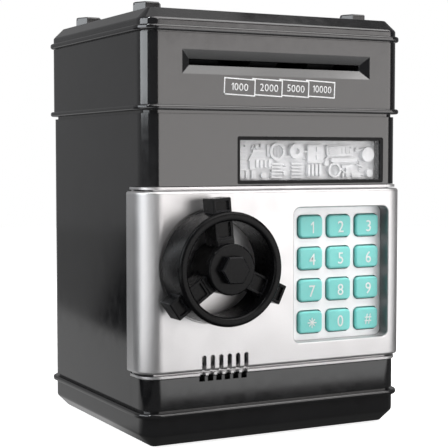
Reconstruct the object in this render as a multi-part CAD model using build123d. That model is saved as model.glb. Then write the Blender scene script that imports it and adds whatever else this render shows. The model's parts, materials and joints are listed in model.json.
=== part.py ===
"""Toy cash-machine savings bank: a moulded box with a hinged combination door, a handwheel latch, a
twelve-key pad, a lit window, a powered banknote slot and a coin slot in the lid.

Frame: millimetres, +Z up, +X to the right of someone facing the door, the door faces -Y.
Origin: middle of the overall footprint, on the surface that the rubber feet stand on. The
dimensions below are laid out about the middle of the case; write() makes the shift along Y.
"""

from build123d import *
import math
import os

# ---------------------------------------------------------------- driving dimensions
WALL = 2.4                    # moulded wall of every case part
CASE_W, CASE_D = 129.0, 114.4  # lower case, outside
CORNER_R = 7.5                # upright corners of the case
HALF_W, HALF_D = CASE_W / 2, CASE_D / 2
FRONT_Y = -HALF_D

FOOT_T = 1.0                  # rubber feet stand this far below the base
BASE_Z = FOOT_T
BASE_CHAMFER = 5.5
BASE_BEAD = (14.0, 16.3)      # bead round the rim of the base tray
BASE_TOP = 17.3
BEAD_PROUD = 1.9

CASE_TOP = 143.1              # top of the lower case
UPPER_BEAD = (144.5, 146.7)
UPPER_TOP = 177.1
UPPER_W, UPPER_D = CASE_W + 1.0, CASE_D + 1.0
UPPER_PROUD = 1.6

LID_SEAM = 0.5
LID_BEAD_TOP = 180.0
LID_BAND_TOP = 182.6
LID_TOP = 187.5
LID_CHAMFER = LID_TOP - LID_BAND_TOP
BOLT_TOP = 191.5

SEAM_Y = -41.7                # upright seam between front frame and rear shell

# door
DOOR_Z = (33.0, 110.3)        # silver face
DOOR_PROUD = 2.2              # how far the face stands out of the case
DOOR_Y = FRONT_Y - DOOR_PROUD
LINER_Z = (30.9, 112.0)       # inner tray, its edge shows as a thin silver line
LINER_PROUD = 0.8
OPENING_Z = (30.5, 112.3)     # gap in the front frame that the door closes
DOOR_BACK_Y = -42.9
PIVOT_X, PIVOT_Y = 62.0, -47.2
KNUCKLE_R = 4.8               # rounded rear edge of the hinge side, about the pivot
PIN_R = 1.5
JAMB_Y = (-42.1, -39.8)
DOORWAY_HALF_W = 54.0
DOORWAY_Z = (35.5, 107.0)

# keypad
WELL_X, WELL_Z = 31.8, 72.1   # centre of the recess
WELL_W, WELL_H, WELL_R = 50.2, 60.3, 3.0
WELL_DEPTH = 6.4
PLATE_Y = DOOR_Y + WELL_DEPTH
PLATE_T = 1.6
KEY_W, KEY_H, KEY_R = 12.2, 9.8, 2.0
KEY_PITCH_X, KEY_PITCH_Z = 15.15, 14.4
KEY_PROUD = 1.8
KEY_TRAVEL = 1.2
KEY_GAP = 0.5
KEYS_X, KEYS_Z = 1.7, -0.35    # middle of the keys from the middle of the recess

# handwheel
WHEEL_X, WHEEL_Z = -34.3, 78.1
RIM_R, RIM_WALL = 24.1, 4.0
RIM_Y = (-78.2, -61.0)
SPOKE_W, SPOKE_TIP_R = 8.6, 29.7
SPOKE_Y = (-73.8, -64.4)
WHEEL_TILT = 5.0              # the first spoke leans this far to the left of upright
HUB_R = 10.8
HUB_FRONT_Y = -78.2
HEX_ACROSS, HEX_H = 11.2, 4.0
SPINDLE_R = 3.0
RUNNING = 0.05                # radial clearance of anything that turns

# window
WINDOW_X, WINDOW_Z = 17.3, 123.3
WINDOW_W, WINDOW_H = 75.9, 20.6
BEZEL_W = 1.4

# banknote slot and rollers
SLOT_Z = 165.0
SLOT_OUT_W, SLOT_OUT_H = 94.7, 10.3
SLOT_IN_W, SLOT_IN_H = 86.0, 2.6
SLOT_FUNNEL = 2.4
ROLLER_Y = -40.0
DRIVE_R, IDLER_R = 6.0, 4.5
NOTE_GAP = 0.3
SHAFT_R = 1.5
BRACKET_X = (47.0, 49.0)
GEAR_X = (51.0, 54.0)
GEAR_MODULE = 0.7
GEAR_TEETH, PINION_TEETH = 36, 15
MOTOR_R = 7.0
MOTOR_ANGLE = -20            # degrees; a whole number of drive-gear teeth below the horizontal

# coin slot
COIN_Y = 18.0
COIN_W, COIN_GAP = 32.0, 4.6

# vents below the handwheel
VENT_COUNT, VENT_PITCH, VENT_FIRST_X = 6, 4.1, -37.9
VENT_W = 2.0
VENT_FRAME_W = 2.6
VENT_TOP, VENT_BOTTOM = 39.8, 28.3


# ---------------------------------------------------------------- helpers
def block(x, y, z):
    """Box between pairs of limits."""
    return Pos((x[0] + x[1]) / 2, (y[0] + y[1]) / 2, (z[0] + z[1]) / 2) * Box(
        x[1] - x[0], y[1] - y[0], z[1] - z[0]
    )


def slab(width, depth, radius, z, centre=(0, 0)):
    """Upright block with a rounded-rectangle plan."""
    return Pos(centre[0], centre[1], z[0]) * extrude(RectangleRounded(width, depth, radius), z[1] - z[0])


def panel(width, height, radius, x, z, y):
    """Block with a rounded-rectangle front, between two Y limits."""
    return Pos(x, y[1], z) * Rot(90, 0, 0) * extrude(RectangleRounded(width, height, radius), y[1] - y[0])


def rod_x(radius, x, y, z):
    return Pos((x[0] + x[1]) / 2, y, z) * Rot(0, 90, 0) * Cylinder(radius, x[1] - x[0])


def rod_y(radius, x, y, z):
    return Pos(x, (y[0] + y[1]) / 2, z) * Rot(90, 0, 0) * Cylinder(radius, y[1] - y[0])


def rod_z(radius, x, y, z):
    return Pos(x, y, (z[0] + z[1]) / 2) * Cylinder(radius, z[1] - z[0])


def edges_at(shape, z):
    """Edges that lie flat at a height."""
    return [
        e for e in shape.edges()
        if abs(e.bounding_box().min.Z - z) < 1e-3 and abs(e.bounding_box().max.Z - z) < 1e-3
    ]


def edges_at_y(shape, y):
    return [
        e for e in shape.edges()
        if abs(e.bounding_box().min.Y - y) < 1e-3 and abs(e.bounding_box().max.Y - y) < 1e-3
    ]


def bead(width, depth, z, proud):
    """Half-round moulding round a rounded-rectangle case."""
    ring = slab(width + 2 * proud, depth + 2 * proud, CORNER_R + proud, z)
    return fillet(edges_at(ring, z[0]) + edges_at(ring, z[1]), 0.9)


FRONTMOST = HUB_FRONT_Y - HEX_H - 0.02
REARMOST = UPPER_D / 2 + UPPER_PROUD
SHIFT_Y = -(FRONTMOST + REARMOST) / 2


def write(name, *solids):
    """One STEP per node, of one solid or a group of separate ones."""
    solids = [Pos(0, SHIFT_Y, 0) * solid for solid in solids]
    shape = solids[0] if len(solids) == 1 else Compound(children=list(solids))
    shape.label = name
    export_step(shape, f"parts/{name}.step")


# ---------------------------------------------------------------- base
FEET = [(sx * 46, sy * 38) for sx in (-1, 1) for sy in (-1, 1)]
BASE_SCREWS = [(sx * 50, sy * 26) for sx in (-1, 1) for sy in (-1, 1)]
DECK_SCREWS = [(sx * 55, y) for sx in (-1, 1) for y in (-28, 38)]
BATTERY_HALF_X, BATTERY_HALF_Y = 29.0, 29.0
CELL_R, CELL_L = 7.1, 50.0
CELL_Z = 11.0
SCREW_HEAD_R, SCREW_R = 2.8, 1.4
FLOOR_T = 2.4
COVER_T = 1.8


def base_tray():
    """Shallow tray with a chamfered foot and a bead round its rim."""
    body = slab(CASE_W, CASE_D, CORNER_R, (BASE_Z, BASE_BEAD[1] - 0.5))
    body = chamfer(edges_at(body, BASE_Z), BASE_CHAMFER)
    body = fillet(edges_at(body, BASE_Z + BASE_CHAMFER), 2.0)
    body = fillet(edges_at(body, BASE_Z), 1.2)
    body += bead(CASE_W, CASE_D, BASE_BEAD, BEAD_PROUD)
    body += slab(CASE_W - 2, CASE_D - 2, CORNER_R - 1, (BASE_BEAD[0], BASE_TOP))
    floor_z = BASE_Z + FLOOR_T
    body -= slab(
        CASE_W - 2 * (BASE_CHAMFER + 1), CASE_D - 2 * (BASE_CHAMFER + 1), 2.0, (floor_z, BASE_Z + 6.5)
    )
    body -= slab(CASE_W - 2 * WALL - 1, CASE_D - 2 * WALL - 1, CORNER_R - WALL, (BASE_Z + 6.0, BASE_TOP))
    for x, y in BASE_SCREWS:
        body += rod_z(SCREW_HEAD_R + 1.4, x, y, (floor_z - 0.4, 15.0))
        body -= rod_z(SCREW_R + 0.2, x, y, (BASE_Z - 1, BASE_TOP))
        body -= rod_z(SCREW_HEAD_R + 0.3, x, y, (BASE_Z - 1, 5.0))
    opening = block((-BATTERY_HALF_X + 1.4, BATTERY_HALF_X - 1.4),
                    (-BATTERY_HALF_Y + 1.0, BATTERY_HALF_Y - 1.0), (BASE_Z - 1, floor_z + 1))
    rebate = block((-BATTERY_HALF_X - 1, BATTERY_HALF_X + 1),
                   (-BATTERY_HALF_Y - 1, BATTERY_HALF_Y + 1), (BASE_Z - 1, BASE_Z + COVER_T - 0.6))
    return body - opening - rebate


def rubber_feet():
    return [fillet(rod_z(6.0, x, y, (0, BASE_Z)).edges().sort_by(Axis.Z)[:1], 0.3) for x, y in FEET]


def battery_cover():
    """Screwed cover that closes the cell bay from below, with finger ribs."""
    lid = slab(2 * BATTERY_HALF_X + 1.6, 2 * BATTERY_HALF_Y + 1.6, 1.0, (BASE_Z + 0.1, BASE_Z + 1.1))
    lid += slab(2 * BATTERY_HALF_X - 3.2, 2 * BATTERY_HALF_Y - 2.4, 1.0, (BASE_Z + 1.0, BASE_Z + 2.0))
    for k in range(-3, 4):
        lid -= block((-12, 12), (-16 + 2.2 * k - 0.5, -16 + 2.2 * k + 0.5), (BASE_Z, BASE_Z + 0.5))
    hole = (0, BATTERY_HALF_Y - 3.4)
    lid -= rod_z(SCREW_HEAD_R + 0.2, *hole, (BASE_Z, BASE_Z + 0.9))
    return lid - rod_z(SCREW_R + 0.15, *hole, (BASE_Z, BASE_Z + 3))


def battery_box():
    """Inverted tray that holds three cells side by side above the cover."""
    top = CELL_Z + CELL_R + 1.8
    box = block((-BATTERY_HALF_X, BATTERY_HALF_X), (-BATTERY_HALF_Y - 1, BATTERY_HALF_Y + 1),
                (BASE_Z + FLOOR_T + 0.05, top))
    box -= block((-BATTERY_HALF_X + 1.6, BATTERY_HALF_X - 1.6), (-BATTERY_HALF_Y + 1.2, BATTERY_HALF_Y - 1.2),
                 (0, top - 1.6))
    boss = (0, BATTERY_HALF_Y - 3.4)
    for k in (-1, 1):
        y = k * (CELL_R + 0.35)
        box += block((-BATTERY_HALF_X + 1, BATTERY_HALF_X - 1), (y - 0.25, y + 0.25), (14.6, top - 1))
    box += rod_z(2.2, *boss, (top - 1.5, top + 2))
    return box - rod_z(SCREW_R, *boss, (0, top + 3))


def battery_cells():
    cells = []
    for k in (-1, 0, 1):
        y = k * (2 * CELL_R + 0.7)
        cell = rod_x(CELL_R, (-CELL_L / 2 + 1, CELL_L / 2 - 1), y, CELL_Z)
        nub = rod_x(2.6, (CELL_L / 2 - 1, CELL_L / 2), y, CELL_Z)
        cells.append(Pos(0, y, CELL_Z) * Rot(0, 0, 180 * (k % 2)) * Pos(0, -y, -CELL_Z) * (cell + nub))
    return cells


def battery_contacts():
    plates = []
    for side in (-1, 1):
        for k in (-1, 0, 1):
            y = k * (2 * CELL_R + 0.7)
            inner, outer = side * (CELL_L / 2 + 1.4), side * (BATTERY_HALF_X - 1.7)
            plate = block((min(inner, outer), max(inner, outer)), (y - 4.5, y + 4.5), (6.5, 15.0))
            plates.append(plate - rod_x(1.2, (-40, 40), y, CELL_Z))
    return plates


SPEAKER_X, SPEAKER_Z, SPEAKER_R = -27.7, 18.0, 9.0


def speaker():
    """Small moving-coil speaker behind the vents: basket, magnet, cone and foot in one unit."""
    unit = rod_y(SPEAKER_R, SPEAKER_X, (-53.2, -51.0), SPEAKER_Z)
    unit += rod_y(7.5, SPEAKER_X, (-51.0, -48.6), SPEAKER_Z)
    unit += rod_y(5.5, SPEAKER_X, (-48.6, -45.6), SPEAKER_Z)
    unit += block((SPEAKER_X - 4, SPEAKER_X + 4), (-50.4, -46.5), (BASE_Z + FLOOR_T + 0.02, SPEAKER_Z - 4))
    dish = rod_y(7.6, SPEAKER_X, (-53.3, -52.0), SPEAKER_Z)
    return unit - dish + rod_y(2.8, SPEAKER_X, (-52.2, -51.9), SPEAKER_Z)


def main_board():
    """Control board on the floor of the base, with its parts."""
    board = block((-34, 34), (30.5, 49.5), (8.0, 9.6))
    chip = block((-9, 9), (36, 44), (9.6, 11.4))
    can = rod_z(3.2, 22, 40, (9.6, 16.0))
    plug = block((-30, -20), (34, 46), (9.6, 14.5))
    posts = [rod_z(2.0, x, 40, (BASE_Z + FLOOR_T + 0.02, 8.2)) for x in (-31, 31)]
    solid = board + chip + can + plug
    for post in posts:
        solid += post
    return solid


# ---------------------------------------------------------------- lower case
def case_ring(z, width=CASE_W, depth=CASE_D, radius=CORNER_R, wall=WALL):
    inside = slab(width - 2 * wall, depth - 2 * wall, max(radius - wall, 0.5), (z[0] - 1, z[1] + 1))
    return slab(width, depth, radius, z) - inside


def rear_shell():
    """Sides and back of the lower case, one U-shaped moulding."""
    shell = case_ring((BASE_TOP, CASE_TOP))
    shell -= block((-80, 80), (-80, SEAM_Y), (0, 200))
    for x, y in BASE_SCREWS:
        side = math.copysign(1, x)
        wall_x = side * (HALF_W - WALL + 0.5)
        shell += rod_z(3.2, x, y, (BASE_TOP, 27.98))
        shell += block((min(x, wall_x), max(x, wall_x)), (y - 1.0, y + 1.0), (BASE_TOP, 27.98))
        shell -= rod_z(SCREW_R, x, y, (BASE_TOP - 1, 26.0))
    for x, y in DECK_SCREWS:
        side = math.copysign(1, x)
        wall_x = side * (HALF_W - WALL + 0.5)
        if y > SEAM_Y + 3:
            shell += rod_z(3.0, x, y, (133.0, CASE_TOP))
            shell += block((min(x, wall_x), max(x, wall_x)), (y - 1.0, y + 1.0), (133.0, CASE_TOP))
            shell -= rod_z(SCREW_R, x, y, (134.5, CASE_TOP + 1))
    return shell


def vent_slots(width, z, y):
    slots = []
    for k in range(VENT_COUNT):
        x = VENT_FIRST_X + k * VENT_PITCH
        slot = block((x - width / 2, x + width / 2), y, (z[0], z[1] - width / 2))
        slots.append(slot + rod_y(width / 2, x, y, z[1] - width / 2))
    return slots


def front_frame():
    """Header, sill and jambs of the door opening, with the window cut-out and the upright corners."""
    frame = case_ring((BASE_TOP, CASE_TOP))
    frame -= block((-80, 80), (SEAM_Y, 80), (0, 200))
    frame -= block((-80, 80), (-80, SEAM_Y), OPENING_Z)
    inner = slab(CASE_W - 1.0, CASE_D - 1.0, CORNER_R - 0.5, (BASE_TOP, CASE_TOP))
    keep = block((-80, 80), (-80, SEAM_Y), (0, 200))
    sill = inner & keep & block((-80, 80), (-80, 80), (OPENING_Z[0] - 2.0, OPENING_Z[0]))
    header = inner & keep & block((-80, 80), (-80, 80), (OPENING_Z[1], OPENING_Z[1] + 2.0))
    frame += sill
    frame += header
    jamb = block((-HALF_W + WALL + 0.2, HALF_W - WALL - 0.2), JAMB_Y, (BASE_TOP + 11.2, 118.0))
    jamb -= block((-DOORWAY_HALF_W, DOORWAY_HALF_W), (-80, 0), DOORWAY_Z)
    frame += jamb
    for z in ((OPENING_Z[1], OPENING_Z[1] + 7.0), (OPENING_Z[0] - 7.0, OPENING_Z[0])):
        boss = rod_z(3.6, PIVOT_X - 0.9, PIVOT_Y, z) & inner
        frame += boss
        frame -= rod_z(PIN_R, PIVOT_X, PIVOT_Y, (z[0] - 0.1, z[1] + 0.1) if z[0] < 60 else z)
    frame -= panel(WINDOW_W, WINDOW_H, 0.8, WINDOW_X, WINDOW_Z, (FRONT_Y - 1, FRONT_Y + 8))
    vent_y = (FRONT_Y - 1, FRONT_Y + WALL + 0.6)
    for slot in vent_slots(VENT_FRAME_W, (VENT_BOTTOM, OPENING_Z[0] + 5), vent_y):
        frame -= slot
    return frame


def safe_floor():
    """Floor of the cash compartment, resting on the sill and the screw bosses."""
    return slab(CASE_W - 2 * WALL - 0.6, HALF_D - WALL - JAMB_Y[1] - 0.8, 5.6, (28.0, 30.0),
                (0, (HALF_D - WALL + JAMB_Y[1]) / 2))


def hinge_pins():
    upper = rod_z(PIN_R - 0.02, PIVOT_X, PIVOT_Y, (102.8, 119.0))
    lower = rod_z(PIN_R - 0.02, PIVOT_X, PIVOT_Y, (23.7, 40.2))
    return [upper, lower]


def case_screws():
    screws = []
    for x, y in BASE_SCREWS:
        head = rod_z(SCREW_HEAD_R, x, y, (3.0, 5.0)) - cross_recess(x, y, 3.0)
        screws.append(head + rod_z(SCREW_R - 0.02, x, y, (4.5, 25.0)))
    for x, y in DECK_SCREWS:
        head = rod_z(SCREW_HEAD_R, x, y, (DECK_Z[1] + 0.02, DECK_Z[1] + 1.8))
        head -= block((x - 1.8, x + 1.8), (y - 0.3, y + 0.3), (DECK_Z[1] + 0.8, DECK_Z[1] + 3))
        screws.append(head + rod_z(SCREW_R - 0.02, x, y, (136.0, DECK_Z[1] + 0.2)))
    return screws


def cross_recess(x, y, z):
    return (block((x - 1.8, x + 1.8), (y - 0.3, y + 0.3), (z - 1, z + 0.9))
            + block((x - 0.3, x + 0.3), (y - 1.8, y + 1.8), (z - 1, z + 0.9)))


def battery_screw():
    x, y = 0, BATTERY_HALF_Y - 3.4
    head = rod_z(SCREW_HEAD_R, x, y, (BASE_Z + 0.15, BASE_Z + 0.85)) - block(
        (-1.8, 1.8), (y - 0.3, y + 0.3), (0, BASE_Z + 0.55))
    return head + rod_z(SCREW_R - 0.05, x, y, (BASE_Z + 0.6, 20.5))


def strike_plate():
    """Metal plate on the back of the left jamb, where the latch cam bears."""
    y = (JAMB_Y[1] + 0.02, JAMB_Y[1] + 0.6)
    plate = block((-DOORWAY_HALF_W - 7.4, -DOORWAY_HALF_W - 0.4), y, (WHEEL_Z - 13, WHEEL_Z + 13))
    for dz in (-10, 10):
        plate -= rod_y(1.2, -DOORWAY_HALF_W - 4, (y[0] - 1, y[1] + 1), WHEEL_Z + dz)
    return plate


# ---------------------------------------------------------------- window
LENS_Y = (FRONT_Y + 1.0, FRONT_Y + 2.4)
RELIEF_Y = (FRONT_Y + 5.2, FRONT_Y + 6.8)
LENS_W, LENS_H = WINDOW_W - 2 * BEZEL_W, WINDOW_H - 2 * BEZEL_W


def window_bezel():
    """Black frame clipped into the window cut-out, with a rear skirt that carries the relief panel."""
    y = (FRONT_Y + 0.25, FRONT_Y + 7.4)
    ring = panel(WINDOW_W - 0.1, WINDOW_H - 0.1, 0.8, WINDOW_X, WINDOW_Z, y)
    lip_y = (FRONT_Y + WALL + 0.05, FRONT_Y + WALL + 1.2)
    ring += panel(WINDOW_W + 3, WINDOW_H - 3, 0.8, WINDOW_X, WINDOW_Z, lip_y)
    ring -= panel(LENS_W, LENS_H, 0.6, WINDOW_X, WINDOW_Z, (y[0] - 1, y[1] + 1))
    return ring


def window_lens():
    return panel(LENS_W - 0.1, LENS_H - 0.1, 0.6, WINDOW_X, WINDOW_Z, LENS_Y)


def relief_panel():
    """Bright backing with raised machine shapes that have no function."""
    left, low = WINDOW_X - LENS_W / 2, WINDOW_Z - LENS_H / 2
    face = RELIEF_Y[0]
    plate = panel(LENS_W - 0.3, LENS_H - 0.3, 0.5, WINDOW_X, WINDOW_Z, RELIEF_Y)

    def bar(x, z, height, radius=0.0):
        nonlocal plate
        y = (face - height, face + 0.2)
        if radius:
            cx, cz = (x[0] + x[1]) / 2, (z[0] + z[1]) / 2
            plate += panel(x[1] - x[0], z[1] - z[0], radius, left + cx, low + cz, y)
        else:
            plate += block((left + x[0], left + x[1]), y, (low + z[0], low + z[1]))

    def ring(x, z, outer, inner, height):
        nonlocal plate
        y = (face - height, face + 0.2)
        shape = rod_y(outer, left + x, y, low + z)
        if inner:
            shape -= rod_y(inner, left + x, (y[0] - 1, y[0] + height * 0.6), low + z)
        plate += shape

    for x, z, outer, inner, height in (
        (20.6, 12.7, 3.9, 2.8, 1.8), (30.2, 12.9, 3.5, 1.4, 2.2), (50.6, 4.3, 3.4, 2.5, 1.8),
        (68.3, 11.4, 3.3, 0.0, 2.4), (69.6, 2.8, 1.8, 0.0, 1.8), (13.6, 2.2, 1.3, 0.0, 1.4),
        (24.6, 3.0, 0.9, 0.0, 1.5), (63.0, 13.6, 0.9, 0.0, 1.0),
    ):
        ring(x, z, outer, inner, height)
    for x, z, height, radius in (
        ((36.2, 44.4), (7.6, 15.8), 1.6, 0.6), ((40.6, 43.4), (12.6, 14.8), 2.2, 0.0),
        ((40.6, 43.4), (9.0, 11.4), 2.0, 0.0), ((46.6, 60.6), (10.8, 15.6), 1.2, 0.5),
        ((48.6, 62.6), (7.8, 9.8), 1.7, 0.95), ((8.2, 14.4), (12.2, 13.6), 1.6, 0.0),
        ((9.4, 11.0), (14.2, 15.8), 1.6, 0.0), ((12.0, 13.6), (14.6, 16.0), 1.6, 0.0),
        ((6.8, 18.4), (5.0, 9.6), 1.2, 0.5), ((0.8, 5.2), (0.9, 16.2), 0.8, 0.3),
        ((4.6, 6.4), (0.8, 4.4), 1.5, 0.0), ((7.6, 9.4), (0.8, 4.4), 1.5, 0.0),
        ((45.2, 47.2), (6.2, 8.8), 1.9, 0.8), ((54.8, 60.0), (5.2, 6.6), 1.4, 0.0),
        ((57.0, 58.6), (1.2, 6.0), 1.4, 0.0), ((55.0, 56.0), (0.9, 3.2), 1.2, 0.0),
        ((60.4, 65.2), (0.9, 3.0), 1.1, 0.4), ((15.6, 17.2), (10.6, 15.8), 1.1, 0.4),
    ):
        bar(x, z, height, radius)
    for k in range(5):
        bar((17.6, 23.2), (0.9 + 1.5 * k, 1.7 + 1.5 * k), 1.6)
        bar((28.0, 33.8), (0.9 + 1.5 * k, 1.7 + 1.5 * k), 1.6)
    for k in range(4):
        bar((36.2 + 2.0 * k, 37.4 + 2.0 * k), (1.8, 7.0), 1.9)
        bar((9.6 + 2.1 * k, 10.8 + 2.1 * k), (5.6, 9.0), 2.0)
    for k in range(4):
        bar((47.6, 52.4), (11.6 + 0.95 * k, 12.1 + 0.95 * k), 1.7)
    return plate


def indicator_leds():
    """Two lamps behind the relief panel."""
    lamps = []
    for x in (WINDOW_X - 20, WINDOW_X + 20):
        lamp = rod_y(2.5, x, (RELIEF_Y[1] + 0.3, RELIEF_Y[1] + 2.4), WINDOW_Z)
        lamps.append(fillet(edges_at_y(lamp, RELIEF_Y[1] + 0.3), 1.5))
    return lamps


def led_board():
    """Board for the lamps, on two pegs that reach the relief panel."""
    board = panel(58, 12, 1.0, WINDOW_X, WINDOW_Z, (RELIEF_Y[1] + 2.5, RELIEF_Y[1] + 4.1))
    for x in (WINDOW_X - 26.5, WINDOW_X + 26.5):
        board += rod_y(1.2, x, (RELIEF_Y[1] + 0.02, RELIEF_Y[1] + 2.6), WINDOW_Z)
    return board


# ---------------------------------------------------------------- upper case, deck and lid
DECK_Z = (CASE_TOP + 0.02, 145.1)
THROAT = ((-46.0, 46.0), (-10.0, 30.0))


def upper_housing():
    """Upper case: a tall ring with the banknote slot in its front."""
    ring = case_ring((UPPER_BEAD[0], UPPER_TOP), UPPER_W, UPPER_D, CORNER_R)
    rim = bead(UPPER_W, UPPER_D, UPPER_BEAD, UPPER_PROUD)
    rim -= slab(UPPER_W - 2, UPPER_D - 2, CORNER_R - 1, (UPPER_BEAD[0] - 1, UPPER_BEAD[1] + 1))
    neck = case_ring((CASE_TOP + 0.02, UPPER_BEAD[0] + 0.5), CASE_W - 2.6, CASE_D - 2.6, CORNER_R - 1.3, 3.4)
    shell = ring + rim + neck
    front = -UPPER_D / 2
    shell += block((-49.0, 49.0), (front + 1, front + 6.5), (SLOT_Z - 7.5, SLOT_Z + 7.5))
    mouth = Plane(origin=(0, front, SLOT_Z), x_dir=(1, 0, 0), z_dir=(0, -1, 0))
    throat = Plane(origin=(0, front + SLOT_FUNNEL, SLOT_Z), x_dir=(1, 0, 0), z_dir=(0, -1, 0))
    shell -= loft([mouth * Rectangle(SLOT_OUT_W, SLOT_OUT_H), throat * Rectangle(SLOT_IN_W, SLOT_IN_H)])
    shell -= block((-SLOT_IN_W / 2, SLOT_IN_W / 2), (front + SLOT_FUNNEL - 0.1, front + 8),
                   (SLOT_Z - SLOT_IN_H / 2, SLOT_Z + SLOT_IN_H / 2))
    return shell


def mechanism_deck():
    """Floor of the upper case, with the throat that notes and coins drop through."""
    deck = slab(CASE_W - 10.0, CASE_D - 10.0, 3.0, DECK_Z)
    deck -= block(*THROAT, (140, 150))
    for x, y in DECK_SCREWS:
        deck -= rod_z(SCREW_R + 0.15, x, y, (140, 150))
    return deck


def lid():
    """Top cover: bead, short band, chamfer and a flat top with the coin slot."""
    low = UPPER_TOP + LID_SEAM
    cap = slab(UPPER_W, UPPER_D, CORNER_R, (low, LID_TOP))
    cap = chamfer(edges_at(cap, LID_TOP), LID_CHAMFER)
    cap = fillet(edges_at(cap, LID_BAND_TOP), 1.5)
    cap = fillet(edges_at(cap, LID_TOP), 1.0)
    cap += bead(UPPER_W, UPPER_D, (low, LID_BEAD_TOP), 1.5)
    cap += slab(UPPER_W - 1.2, UPPER_D - 1.2, CORNER_R - 0.6, (UPPER_TOP + 0.02, low + 0.5))
    cap -= slab(UPPER_W - 5.4, UPPER_D - 5.4, CORNER_R - 2.7, (UPPER_TOP - 1, LID_BAND_TOP))
    inset = 2 * (LID_CHAMFER + 1.2)
    cap -= slab(UPPER_W - inset, UPPER_D - inset, 2.0, (LID_BAND_TOP - 1, LID_TOP - WALL))
    plate = slab(48, 15, 7.4, (LID_TOP - 0.5, LID_TOP + 0.8), (0, COIN_Y))
    cap += fillet(edges_at(plate, LID_TOP + 0.8), 0.5)
    coin = slab(COIN_W, COIN_GAP, 1.0, (LID_TOP - 10, LID_TOP + 5), (0, COIN_Y))
    for x, y in BOLTS:
        cap -= rod_z(3.0, x, y, (LID_TOP - 5, LID_TOP + 1))
    return cap - coin


BOLTS = [(sx * 53.0, sy * 34.3) for sx in (-1, 1) for sy in (-1, 1)]
BOLT_ACROSS = 11.4


def corner_bolts():
    """Hexagon bolt heads with a screwdriver slot, one near each corner of the lid."""
    heads = []
    for x, y in BOLTS:
        prism = Pos(x, y, LID_TOP + 0.02) * extrude(
            RegularPolygon(BOLT_ACROSS / 2, 6, major_radius=False, rotation=0), BOLT_TOP - LID_TOP - 0.02
        )
        head = fillet(edges_at(prism, BOLT_TOP), 0.7)
        head -= Pos(x, y, BOLT_TOP) * Box(20, 1.1, 2 * 1.3)
        heads.append(head + rod_z(2.98, x, y, (LID_TOP - 4.5, LID_TOP + 1)))
    return heads


def coin_chute():
    """Flat tube that guides a coin from the lid, through the deck, into the cash compartment."""
    half = COIN_W / 2 + 2.4
    tube = block((-half, half), (COIN_Y - 3.9, COIN_Y + 3.9), (138.0, LID_TOP - WALL - 0.1))
    foot = (THROAT[0][0] - 3, THROAT[0][1] + 3)
    tube += block(foot, (COIN_Y - 2.5, COIN_Y + 2.5), (DECK_Z[1] + 0.02, DECK_Z[1] + 2))
    gap = (COIN_Y - COIN_GAP / 2, COIN_Y + COIN_GAP / 2)
    return tube - block((-COIN_W / 2 - 0.8, COIN_W / 2 + 0.8), gap, (137, 190))


# ---------------------------------------------------------------- banknote feed
DRIVE_Z = SLOT_Z - NOTE_GAP / 2 - DRIVE_R
IDLER_Z = SLOT_Z + NOTE_GAP / 2 + IDLER_R
CENTRE_DISTANCE = GEAR_MODULE * (GEAR_TEETH + PINION_TEETH) / 2
MOTOR_Y = ROLLER_Y + CENTRE_DISTANCE * math.cos(math.radians(MOTOR_ANGLE))
MOTOR_Z = DRIVE_Z + CENTRE_DISTANCE * math.sin(math.radians(MOTOR_ANGLE))
ROLLER_XS = (-30.0, 0.0, 30.0)
ROLLER_W = 14.0


def bracket(side):
    """Side plate that carries both roller shafts, and on the right the motor."""
    x = (BRACKET_X[0], BRACKET_X[1]) if side > 0 else (-BRACKET_X[1], -BRACKET_X[0])
    back = MOTOR_Y + MOTOR_R + 3 if side > 0 else ROLLER_Y + 8
    plate = block(x, (ROLLER_Y - 8, back), (DECK_Z[1] + 0.02, 168.5 if side > 0 else 176.0))
    if side > 0:
        plate += block(x, (ROLLER_Y - 8, ROLLER_Y + 8), (168.0, 176.0))
    foot_x = (x[0] - 7, x[1]) if side > 0 else (x[0], x[1] + 7)
    plate += block(foot_x, (ROLLER_Y - 7, ROLLER_Y + 7), (DECK_Z[1] + 0.02, DECK_Z[1] + 1.6))
    plate -= rod_x(SHAFT_R + RUNNING, (x[0] - 1, x[1] + 1), ROLLER_Y, DRIVE_Z)
    plate -= rod_x(SHAFT_R + RUNNING, (x[0] - 1, x[1] + 1), ROLLER_Y, IDLER_Z)
    if side > 0:
        plate -= rod_x(3.2, (x[0] - 1, x[1] + 1), MOTOR_Y, MOTOR_Z)
    return plate


def note_guide():
    """Shelf that carries a note from the slot to the rollers."""
    shelf = block((-BRACKET_X[0] + 0.05, BRACKET_X[0] - 0.05), (-50.9, -46.4), (SLOT_Z - 3.0, SLOT_Z - 1.5))
    legs = [block((x - 1, x + 1), (-50.9, -48.4), (DECK_Z[1] + 0.02, SLOT_Z - 2.5)) for x in (-40, 40)]
    for leg in legs:
        shelf += leg
    return shelf


def tyres(radius, z):
    """Rubber sleeves on a shaft."""
    out = []
    for x in ROLLER_XS:
        span = (x - ROLLER_W / 2, x + ROLLER_W / 2)
        sleeve = rod_x(radius, span, ROLLER_Y, z) - rod_x(SHAFT_R, span, ROLLER_Y, z)
        out.append(sleeve)
    return out


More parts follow.
